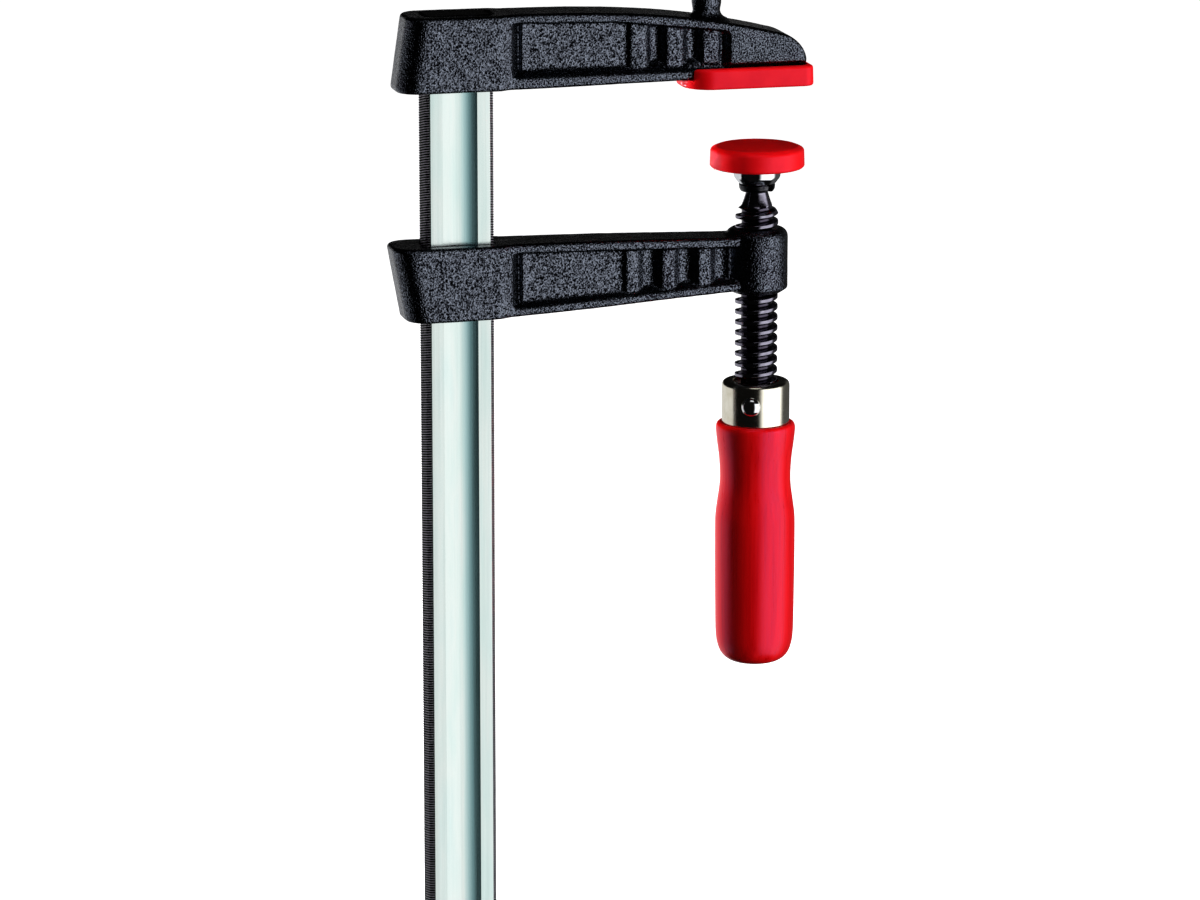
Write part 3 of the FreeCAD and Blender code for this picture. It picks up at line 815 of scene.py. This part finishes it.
def zinc_and_painted_reflection(paint):
    """Clouded bright zinc, turned bluer by a painted teal reflection along the right of the front
    groove.
    """
    green_zinc = (0.465, 0.56, 0.54)
    pale_zinc = (0.525, 0.58, 0.56)
    plain_zinc = (0.475, 0.565, 0.55)
    # painted reflection: the teal colour laid on the right of the front groove
    painted_reflection_teal = (0.36, 0.62, 0.64)
    cloud = paint.noise(12.0, 3.0, 0.5, (0.5, 1, 3))
    zinc = paint.ramp(cloud, [(0.3, green_zinc), (0.55, pale_zinc), (0.75, plain_zinc)])
    across = paint.math("SUBTRACT", paint.part("X"), rail_x)
    right_half = paint.span(across, 0.0, 1.0, 0.0, 2.8)
    in_groove = paint.span(across, 1.0, 0.0, groove_half - 0.1, groove_half)
    in_front = paint.span(paint.part("Y"), 1.0, 0.0, -1.0, 0.0)
    # share of the painted teal reflection: the front groove's right half, fading in over 2.8 mm from its
    # middle
    share = paint.math("MULTIPLY", paint.math("MULTIPLY", right_half, in_groove), in_front)
    return paint.mix(share, zinc, painted_reflection_teal)


def serrated_edge(paint):
    """Bright crests and grimy roots, in step with the serrations."""
    root = (0.004, 0.004, 0.005)
    flank = (0.05, 0.05, 0.055)
    crest = (0.75, 0.74, 0.80)
    lean = paint.math("MULTIPLY", paint.part("Y"), serration_slant)
    turns = paint.math("DIVIDE", paint.math("ADD", paint.part("Z"), lean), serration_pitch)
    tooth = paint.math("PINGPONG", turns, 0.5)
    wear = paint.math("MULTIPLY", paint.noise(0.9, 3.0, 0.6, (1, 1, 2)), 0.35)
    return paint.ramp(paint.math("ADD", tooth, wear), [(0.30, root), (0.42, flank), (0.52, crest)])


def rail_steel():
    """Drawn, zinc-plated bar with serrated edges; the end in the jaw is painted with it."""
    coat_black = (0.006, 0.006, 0.008)
    paint = Paint("rail_steel", (0.40, 0.44, 0.43), roughness=0.2, metallic=1.0)
    from_middle = paint.math("ABSOLUTE", paint.math("SUBTRACT", paint.part("X"), rail_x))
    on_edge = paint.span(from_middle, 0.0, 1.0, rail_half_width - chamfer, rail_half_width - 1.15)
    side = paint.mix(on_edge, zinc_and_painted_reflection(paint), serrated_edge(paint))
    painted = paint.span(paint.part("Z"), 0.0, 1.0, rail_high.z - 0.6, rail_high.z - 0.3)
    paint.set("Base Color", paint.mix(painted, side, coat_black))
    streaks = paint.noise(0.5, 4.0, 0.55, (1, 1, 120))
    polish = paint.span(streaks, 0.17, 0.27, 0.25, 0.75)
    dullness = paint.math("MULTIPLY", on_edge, 0.38)
    paint.set("Roughness", paint.math("ADD", polish, dullness))
    paint.bump(streaks, 0.006, 0.3)
    paint.bump(paint.noise(5.0, 2.0, 0.5, (1, 1, 8)), 0.02, 0.2)
    return paint.material


def spindle_steel():
    """Blackened steel, rubbed brighter on the thread's crests and the neck; the thread's roots are
    darkened as painted shade.
    """
    # painted shade: the two darker tones for the thread's roots
    painted_shade_root = (0.05, 0.045, 0.06)
    painted_shade_root_pale = (0.10, 0.09, 0.12)
    dark_crest = (0.18, 0.17, 0.21)
    crest_tone = (0.27, 0.26, 0.32)
    rubbed_crest = (0.33, 0.32, 0.38)
    paint = Paint("spindle_steel", (0.20, 0.19, 0.23), roughness=0.16, metallic=1.0)
    tone = paint.noise(1.8, 4.0, 0.6, (1, 1, 0.5))
    crest = paint.ramp(tone, [(0.3, dark_crest), (0.55, crest_tone), (0.75, rubbed_crest)])
    root = paint.ramp(tone, [(0.3, painted_shade_root), (0.75, painted_shade_root_pale)])
    x_squared = paint.math("POWER", paint.part("X"), 2.0)
    y_squared = paint.math("POWER", paint.part("Y"), 2.0)
    radius = paint.math("SQRT", paint.math("ADD", x_squared, y_squared))
    on_crest = paint.span(radius, 0.0, 1.0, 4.6, 5.5)
    on_neck = paint.span(paint.part("Z"), 0.0, 1.0, neck_base - 1.0, neck_base)
    # painted shade: below a radius of 4.6 mm the root tones darken the thread's roots and the shank, but
    # not the neck and the ball
    paint.set("Base Color", paint.mix(paint.math("MAXIMUM", on_crest, on_neck), root, crest))
    smears = paint.noise(0.7, 4.0, 0.6, (1, 1, 0.3))
    paint.set("Roughness", paint.span(smears, 0.07, 0.18, 0.3, 0.7))
    paint.bump(paint.noise(0.35, 3.0, 0.6, (1, 1, 0.25)), 0.012, 0.5)
    return paint.material


def black_steel():
    """Dull blackened steel of the collar."""
    dark = (0.03, 0.03, 0.035)
    rubbed = (0.11, 0.11, 0.12)
    paint = Paint("black_steel", (0.05, 0.05, 0.055), roughness=0.3, metallic=1.0)
    paint.set("Base Color", paint.ramp(paint.noise(0.8), [(0.35, dark), (0.7, rubbed)]))
    paint.set("Roughness", paint.span(paint.noise(0.5), 0.22, 0.45))
    paint.bump(paint.noise(0.3), 0.015, 0.6)
    return paint.material


def bright_steel():
    """Polished, turned steel of the plate's bell and the pin."""
    blue_steel = (0.72, 0.75, 0.80)
    white_steel = (0.86, 0.87, 0.89)
    paint = Paint("plate_steel", (0.80, 0.82, 0.85), roughness=0.1, metallic=1.0)
    rings = paint.noise(0.22, 3.0, 0.6, (25, 25, 1))
    paint.set("Base Color", paint.ramp(paint.noise(2.5), [(0.3, blue_steel), (0.7, white_steel)]))
    paint.set("Roughness", paint.span(rings, 0.05, 0.14, 0.25, 0.75))
    paint.bump(rings, 0.006, 0.4)
    return paint.material


def ferrule_steel():
    """Warm nickel-bright steel, finely brushed round."""
    warm = (0.80, 0.76, 0.63)
    pale = (0.92, 0.89, 0.78)
    paint = Paint("ferrule_steel", (0.80, 0.77, 0.69), roughness=0.12, metallic=1.0)
    brushed = paint.noise(0.18, 3.0, 0.6, (40, 40, 1))
    paint.set("Base Color", paint.ramp(paint.noise(4.0), [(0.3, warm), (0.7, pale)]))
    paint.set("Roughness", paint.span(brushed, 0.12, 0.24, 0.25, 0.75))
    paint.bump(brushed, 0.006, 0.35)
    return paint.material


def pad_plastic():
    """Red moulded plastic with a faint satin texture."""
    deep_red = (0.76, 0.004, 0.008)
    light_red = (0.86, 0.010, 0.014)
    paint = Paint("pad_plastic", (0.80, 0.008, 0.012), roughness=0.34, metallic=0.0)
    paint.set("Base Color", paint.ramp(paint.noise(6.0), [(0.3, deep_red), (0.7, light_red)]))
    paint.set("Roughness", paint.span(paint.noise(0.5), 0.32, 0.46, 0.3, 0.7))
    paint.set("Specular IOR Level", 0.60)
    paint.set("Specular Tint", (0.45, 0.40, 0.70))
    paint.bump(paint.noise(0.35, 2.0), 0.012, 0.4)
    return paint.material


def lacquered_wood():
    """Red lacquer over turned beech, its grain along the handle."""
    deep_red = (0.62, 0.002, 0.004)
    full_red = (0.78, 0.006, 0.007)
    light_red = (0.86, 0.012, 0.012)
    paint = Paint("lacquered_wood", (0.76, 0.004, 0.006), roughness=0.3, metallic=0.0)
    warp = paint.noise(22.0, 2.0, 0.5, (1, 1, 6))
    fibre = paint.noise(0.8, 4.0, 0.6, (1, 1, 45))
    grain = paint.noise(3.2, 3.0, 0.55, (1, 1, 22))
    tone = paint.math("ADD", paint.math("MULTIPLY", grain, 0.65), paint.math("MULTIPLY", fibre, 0.35))
    drift = paint.math("MULTIPLY", paint.math("SUBTRACT", warp, 0.5), 0.25)
    tone = paint.math("ADD", tone, drift)
    stops = [(0.34, deep_red), (0.5, full_red), (0.68, light_red)]
    paint.set("Base Color", paint.ramp(tone, stops))
    paint.set("Roughness", paint.span(fibre, 0.26, 0.38, 0.3, 0.7))
    paint.set("Specular IOR Level", 0.75)
    paint.set("Specular Tint", (0.45, 0.36, 0.85))
    paint.bump(fibre, 0.015, 0.25)
    paint.bump(paint.noise(9.0, 2.0, 0.5, (1, 1, 3)), 0.10, 0.35)
    return paint.material


# ---------------------------------------------------------------- build

def dress(piece, body, slot, material, *nodes):
    """Gives a piece its material and its body, and hides the CAD nodes that it stands for."""
    piece.data.materials.clear()
    piece.data.materials.append(material)
    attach(piece, body)
    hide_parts(*nodes)


coat = cast_coat()
pad_red = pad_plastic()
bright = bright_steel()

dress(make_rail(), "frame", "rail_steel", rail_steel(), "rail")
jaw = casting("fixed_jaw_casting", "fixed_jaw")
bevel_nose(jaw.data)
cut_moat(jaw.data, jaw_moat_low, jaw_moat_high)
dress(jaw, "frame", "cast_coat", coat, "fixed_jaw")
dress(make_jaw_pad(), "frame", "pad_plastic", pad_red, "fixed_jaw_cap")
arm = casting("sliding_arm_casting", "sliding_arm")
cut_moat(arm.data, arm_moat_low, arm_moat_high)
dress(arm, "arm", "cast_coat", coat, "sliding_arm")
dress(make_spindle(), "screw", "spindle_steel", spindle_steel(), "spindle")
dress(make_ring(), "spindle_carrier", "black_steel", black_steel(), "plate_retaining_ring")
dress(make_plate(), "plate", "plate_steel", bright, "pressure_plate")
dress(make_plate_cap(), "plate", "pad_plastic", pad_red, "pressure_plate_cap")
dress(make_ferrule(), "screw", "ferrule_steel", ferrule_steel(), "ferrule")
dress(make_pin(), "screw", "plate_steel", bright, "handle_pin")
dress(make_handle(), "screw", "lacquered_wood", lacquered_wood(), "handle")


# ---------------------------------------------------------------- stage, light and camera

floor_size = 12000.0
floor_drop = 185.0             # below the handle at rest, to clear the arm's travel
studio_glow = 0.006
backdrop = (0.98, 0.98, 0.98, 1.0)
white = (1.0, 1.0, 1.0, 1.0)


def make_floor():
    """A pale plain floor, below the handle even when the arm is at the rail's lower end."""
    z = handle_low.z - floor_drop
    vertices = [(-floor_size, -floor_size, z), (floor_size, -floor_size, z),
                (floor_size, floor_size, z), (-floor_size, floor_size, z)]
    floor = make_object("floor", vertices, [(0, 1, 2, 3)], 35)
    paint = Paint("floor", (0.86, 0.86, 0.86), roughness=0.9, metallic=0.0)
    paint.set("Specular IOR Level", 0.0)
    paint.set("Emission Color", white[:3])
    paint.set("Emission Strength", 0.80)
    floor.data.materials.append(paint.material)
    floor.visible_glossy = False
    floor.visible_diffuse = False


def make_world():
    """Four soft boxes round the object: right, its faint tail, behind at the left, and above."""
    world = bpy.data.worlds.new("studio")
    bpy.context.scene.world = world
    world.use_nodes = True
    nodes = world.node_tree.nodes
    links = world.node_tree.links
    nodes.clear()
    output = nodes.new("ShaderNodeOutputWorld")
    direction = nodes.new("ShaderNodeTexCoord").outputs["Generated"]
    split = nodes.new("ShaderNodeSeparateXYZ")
    links.new(direction, split.inputs["Vector"])

    def calc(operation, *values):
        """A maths node on numbers or sockets."""
        node = nodes.new("ShaderNodeMath")
        node.operation = operation
        for socket, value in zip(node.inputs, values):
            if isinstance(value, (int, float)):
                socket.default_value = value
            else:
                links.new(value, socket)
        return node.outputs["Value"]

    def fade(value, inner, outer):
        """1 inside the inner limit, 0 outside the outer one."""
        node = nodes.new("ShaderNodeMapRange")
        node.interpolation_type = "SMOOTHSTEP"
        node.inputs["From Min"].default_value = inner
        node.inputs["From Max"].default_value = outer
        node.inputs["To Min"].default_value = 1.0
        node.inputs["To Max"].default_value = 0.0
        links.new(value, node.inputs["Value"])
        return node.outputs["Result"]

    azimuth = calc("ARCTAN2", split.outputs["X"], calc("MULTIPLY", split.outputs["Y"], -1.0))
    height = calc("ARCSINE", split.outputs["Z"])

    def soft_box(centre, half, edge, low, high, strength):
        """A softbox about an azimuth, between two heights, in degrees; 0 is in front, 90 at +X."""
        away = calc("WRAP", calc("SUBTRACT", azimuth, math.radians(centre)), math.pi, -math.pi)
        across = fade(calc("ABSOLUTE", away), math.radians(half - edge), math.radians(half + edge))
        middle = math.radians((low + high) / 2)
        tall = math.radians((high - low) / 2)
        soft = math.radians(5)
        up = fade(calc("ABSOLUTE", calc("SUBTRACT", height, middle)), tall - soft, tall + soft)
        return calc("MULTIPLY", calc("MULTIPLY", across, up), strength)

    right = soft_box(centre=43, half=38, edge=11, low=-48, high=22, strength=1.4)
    tail = soft_box(centre=108, half=44, edge=14, low=-48, high=22, strength=0.08)
    left = soft_box(centre=-145, half=51, edge=8, low=-40, high=0, strength=0.62)
    above = soft_box(centre=-15, half=22, edge=8, low=44, high=60, strength=0.9)
    boxes = calc("ADD", calc("ADD", right, tail), calc("ADD", left, above))
    studio = nodes.new("ShaderNodeBackground")
    studio.inputs["Color"].default_value = white
    links.new(calc("ADD", boxes, studio_glow), studio.inputs["Strength"])
    plain = nodes.new("ShaderNodeBackground")
    plain.inputs["Color"].default_value = backdrop
    plain.inputs["Strength"].default_value = 1.0
    seen = nodes.new("ShaderNodeLightPath").outputs["Is Camera Ray"]
    choose = nodes.new("ShaderNodeMixShader")
    links.new(seen, choose.inputs[0])
    links.new(studio.outputs[0], choose.inputs[1])
    links.new(plain.outputs[0], choose.inputs[2])
    links.new(choose.outputs[0], output.inputs["Surface"])


image_width = 1200             # pixels
focal_length = 5637            # pixels
camera_place = (-0.4277, -1.4827, 0.2573)    # metres
camera_tilt = 13.20            # degrees below the horizon
camera_turn = -14.47           # degrees from facing +Y


def make_camera():
    """The photograph's viewing angle: from the left of the front, a little above."""
    data = bpy.data.cameras.new("camera")
    camera = bpy.data.objects.new("camera", data)
    bpy.context.scene.collection.objects.link(camera)
    data.sensor_width = 36
    data.lens = focal_length / image_width * data.sensor_width
    data.clip_end = 100
    camera.location = camera_place
    camera.rotation_euler = (math.radians(90 - camera_tilt), 0, math.radians(camera_turn))
    bpy.context.scene.camera = camera


lamp_distance = 1.2            # metres, from the point that it is aimed at


def make_lamp(name, azimuth, height, size, power, aim=-0.06, spread=180):
    """A disc lamp at an azimuth and height in degrees, aimed at a point on the spindle's axis.

    Its size and the height of that point are in metres.
    """
    data = bpy.data.lights.new(name, "AREA")
    data.shape = "DISK"
    data.size = size
    data.energy = power
    data.spread = math.radians(spread)
    lamp = bpy.data.objects.new(name, data)
    bpy.context.scene.collection.objects.link(lamp)
    around = math.radians(azimuth)
    up = math.radians(height)
    direction = Vector((math.sin(around) * math.cos(up), -math.cos(around) * math.cos(up), math.sin(up)))
    lamp.location = direction * lamp_distance + Vector((0, 0, aim))
    lamp.rotation_euler = direction.to_track_quat("Z", "Y").to_euler()
    lamp.visible_glossy = False


make_floor()
make_world()
make_camera()
make_lamp("lamp_right", azimuth=46, height=6, size=0.5, power=8.6)
make_lamp("lamp_left", azimuth=-142, height=4, size=0.4, power=20.0)
make_lamp("lamp_left_top", azimuth=-122, height=-8, size=0.1, power=0.075, aim=0.03, spread=7)
make_lamp("lamp_above", azimuth=0, height=84, size=0.6, power=5.0)
bpy.context.scene.view_settings.view_transform = "Standard"
bpy.context.scene.view_settings.look = "Medium High Contrast"
